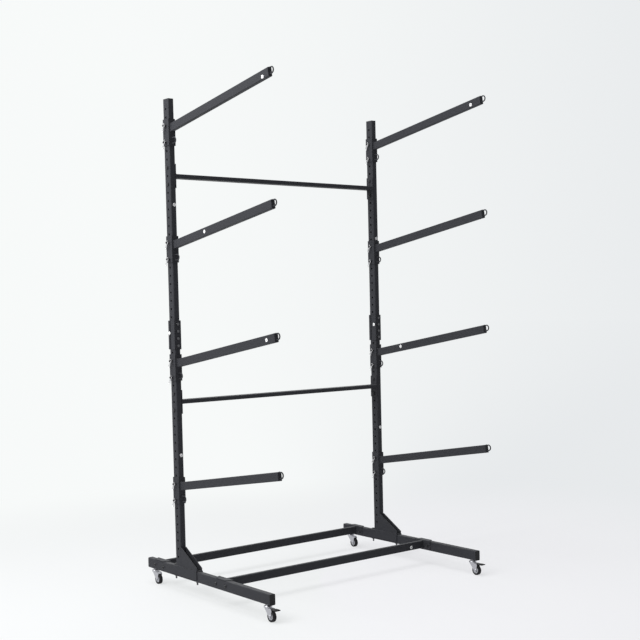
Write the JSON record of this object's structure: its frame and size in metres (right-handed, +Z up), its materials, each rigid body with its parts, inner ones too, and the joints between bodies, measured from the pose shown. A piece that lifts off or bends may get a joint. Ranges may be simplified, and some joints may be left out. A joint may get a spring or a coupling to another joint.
{
  "type": "freestanding kayak rack",
  "caption": "Freestanding rolling rack with two perforated uprights on long feet and pinned, upward-tilted arms that hold kayaks in tiers.",
  "frame": {"origin": "on the floor, under the middle of the rack's bounding box", "axes": "+Z up, +X from the left upright to the right one, the arms reach towards -Y"},
  "size_m": [1.3338, 1.1766, 2.4072],
  "materials": {
    "powder_coat": "satin black powder coat",
    "zinc_plate": "bright zinc plate",
    "black_oxide": "black oxide on steel",
    "black_plastic": "matte moulded plastic",
    "hub_plastic": "grey moulded plastic",
    "tyre_rubber": "dark grey rubber tread"
  },
  "bodies": {
    "rack": {"left_lower_upright": "powder_coat", "right_lower_upright": "powder_coat", "left_upper_upright": "powder_coat", "right_upper_upright": "powder_coat", "splice_channels": "powder_coat", "splice_bolts": "zinc_plate", "left_foot": "powder_coat", "right_foot": "powder_coat", "foot_end_caps": "black_plastic", "upright_top_caps": "black_plastic", "front_stretcher": "powder_coat", "rear_stretcher": "powder_coat", "stretcher_bolts": "black_oxide", "base_bolts": "zinc_plate", "upper_crossbar": "powder_coat", "lower_crossbar": "powder_coat", "crossbar_bolts": "black_oxide", "left_arm_1": "powder_coat", "left_arm_2": "powder_coat", "left_arm_3": "powder_coat", "left_arm_4": "powder_coat", "right_arm_1": "powder_coat", "right_arm_2": "powder_coat", "right_arm_3": "powder_coat", "right_arm_4": "powder_coat", "arm_end_plates": "powder_coat", "strap_loops": "powder_coat", "hitch_pins": "black_oxide", "caster_stems": "zinc_plate", "caster_sockets": "powder_coat"},
    "front_left_swivel": {"front_left_fork": "zinc_plate"},
    "front_left_wheel": {"front_left_hub": "hub_plastic", "front_left_tyre": "tyre_rubber"},
    "rear_left_swivel": {"rear_left_fork": "zinc_plate"},
    "rear_left_wheel": {"rear_left_hub": "hub_plastic", "rear_left_tyre": "tyre_rubber"},
    "left_pedal": {"left_brake_pedal": "black_plastic"},
    "front_right_swivel": {"front_right_fork": "zinc_plate"},
    "front_right_wheel": {"front_right_hub": "hub_plastic", "front_right_tyre": "tyre_rubber"},
    "rear_right_swivel": {"rear_right_fork": "zinc_plate"},
    "rear_right_wheel": {"rear_right_hub": "hub_plastic", "rear_right_tyre": "tyre_rubber"},
    "right_pedal": {"right_brake_pedal": "black_plastic"},
    "left_clip_1_lower_body": {"left_clip_1_lower": "zinc_plate"},
    "left_clip_1_upper_body": {"left_clip_1_upper": "zinc_plate"},
    "left_clip_2_lower_body": {"left_clip_2_lower": "zinc_plate"},
    "left_clip_2_upper_body": {"left_clip_2_upper": "zinc_plate"},
    "left_clip_3_lower_body": {"left_clip_3_lower": "zinc_plate"},
    "left_clip_3_upper_body": {"left_clip_3_upper": "zinc_plate"},
    "left_clip_4_lower_body": {"left_clip_4_lower": "zinc_plate"},
    "left_clip_4_upper_body": {"left_clip_4_upper": "zinc_plate"},
    "right_clip_1_lower_body": {"right_clip_1_lower": "zinc_plate"},
    "right_clip_1_upper_body": {"right_clip_1_upper": "zinc_plate"},
    "right_clip_2_lower_body": {"right_clip_2_lower": "zinc_plate"},
    "right_clip_2_upper_body": {"right_clip_2_upper": "zinc_plate"},
    "right_clip_3_lower_body": {"right_clip_3_lower": "zinc_plate"},
    "right_clip_3_upper_body": {"right_clip_3_upper": "zinc_plate"},
    "right_clip_4_lower_body": {"right_clip_4_lower": "zinc_plate"},
    "right_clip_4_upper_body": {"right_clip_4_upper": "zinc_plate"}
  },
  "joints": [
    {"name": "front_left_swivel_turn", "type": "hinge", "parent": "rack", "child": "front_left_swivel", "pos_m": [-0.6315, -0.44672, 0.06], "axis": [0, 0, 1], "continuous": true},
    {"name": "front_left_wheel_spin", "type": "hinge", "parent": "front_left_swivel", "child": "front_left_wheel", "pos_m": [-0.6315, -0.47473, 0.025], "axis": [1, 0, 0], "continuous": true},
    {"name": "rear_left_swivel_turn", "type": "hinge", "parent": "rack", "child": "rear_left_swivel", "pos_m": [-0.6315, 0.53927, 0.06], "axis": [0, 0, 1], "continuous": true},
    {"name": "rear_left_wheel_spin", "type": "hinge", "parent": "rear_left_swivel", "child": "rear_left_wheel", "pos_m": [-0.6315, 0.51128, 0.025], "axis": [1, 0, 0], "continuous": true},
    {"name": "left_brake_press", "type": "hinge", "parent": "front_left_swivel", "child": "left_pedal", "pos_m": [-0.6315, -0.47873, 0.0565], "axis": [1, 0, 0], "range_deg": [0, 12]},
    {"name": "front_right_swivel_turn", "type": "hinge", "parent": "rack", "child": "front_right_swivel", "pos_m": [0.6445, -0.44672, 0.06], "axis": [0, 0, 1], "continuous": true},
    {"name": "front_right_wheel_spin", "type": "hinge", "parent": "front_right_swivel", "child": "front_right_wheel", "pos_m": [0.6445, -0.47473, 0.025], "axis": [1, 0, 0], "continuous": true},
    {"name": "rear_right_swivel_turn", "type": "hinge", "parent": "rack", "child": "rear_right_swivel", "pos_m": [0.6445, 0.53927, 0.06], "axis": [0, 0, 1], "continuous": true},
    {"name": "rear_right_wheel_spin", "type": "hinge", "parent": "rear_right_swivel", "child": "rear_right_wheel", "pos_m": [0.6445, 0.51128, 0.025], "axis": [1, 0, 0], "continuous": true},
    {"name": "right_brake_press", "type": "hinge", "parent": "front_right_swivel", "child": "right_pedal", "pos_m": [0.6445, -0.47873, 0.0565], "axis": [1, 0, 0], "range_deg": [0, 12]},
    {"name": "left_clip_1_lower_pull", "type": "slide", "parent": "rack", "child": "left_clip_1_lower_body", "axis": [0, 0.5299, -0.848], "range_m": [0, 0.02]},
    {"name": "left_clip_1_upper_pull", "type": "slide", "parent": "rack", "child": "left_clip_1_upper_body", "axis": [0, 0.5299, -0.848], "range_m": [0, 0.02]},
    {"name": "left_clip_2_lower_pull", "type": "slide", "parent": "rack", "child": "left_clip_2_lower_body", "axis": [0, 0.5299, -0.848], "range_m": [0, 0.02]},
    {"name": "left_clip_2_upper_pull", "type": "slide", "parent": "rack", "child": "left_clip_2_upper_body", "axis": [0, 0.5299, -0.848], "range_m": [0, 0.02]},
    {"name": "left_clip_3_lower_pull", "type": "slide", "parent": "rack", "child": "left_clip_3_lower_body", "axis": [0, 0.5299, -0.848], "range_m": [0, 0.02]},
    {"name": "left_clip_3_upper_pull", "type": "slide", "parent": "rack", "child": "left_clip_3_upper_body", "axis": [0, 0.5299, -0.848], "range_m": [0, 0.02]},
    {"name": "left_clip_4_lower_pull", "type": "slide", "parent": "rack", "child": "left_clip_4_lower_body", "axis": [0, 0.5299, -0.848], "range_m": [0, 0.02]},
    {"name": "left_clip_4_upper_pull", "type": "slide", "parent": "rack", "child": "left_clip_4_upper_body", "axis": [0, 0.5299, -0.848], "range_m": [0, 0.02]},
    {"name": "right_clip_1_lower_pull", "type": "slide", "parent": "rack", "child": "right_clip_1_lower_body", "axis": [0, 0.5299, -0.848], "range_m": [0, 0.02]},
    {"name": "right_clip_1_upper_pull", "type": "slide", "parent": "rack", "child": "right_clip_1_upper_body", "axis": [0, 0.5299, -0.848], "range_m": [0, 0.02]},
    {"name": "right_clip_2_lower_pull", "type": "slide", "parent": "rack", "child": "right_clip_2_lower_body", "axis": [0, 0.5299, -0.848], "range_m": [0, 0.02]},
    {"name": "right_clip_2_upper_pull", "type": "slide", "parent": "rack", "child": "right_clip_2_upper_body", "axis": [0, 0.5299, -0.848], "range_m": [0, 0.02]},
    {"name": "right_clip_3_lower_pull", "type": "slide", "parent": "rack", "child": "right_clip_3_lower_body", "axis": [0, 0.5299, -0.848], "range_m": [0, 0.02]},
    {"name": "right_clip_3_upper_pull", "type": "slide", "parent": "rack", "child": "right_clip_3_upper_body", "axis": [0, 0.5299, -0.848], "range_m": [0, 0.02]},
    {"name": "right_clip_4_lower_pull", "type": "slide", "parent": "rack", "child": "right_clip_4_lower_body", "axis": [0, 0.5299, -0.848], "range_m": [0, 0.02]},
    {"name": "right_clip_4_upper_pull", "type": "slide", "parent": "rack", "child": "right_clip_4_upper_body", "axis": [0, 0.5299, -0.848], "range_m": [0, 0.02]}
  ]
}
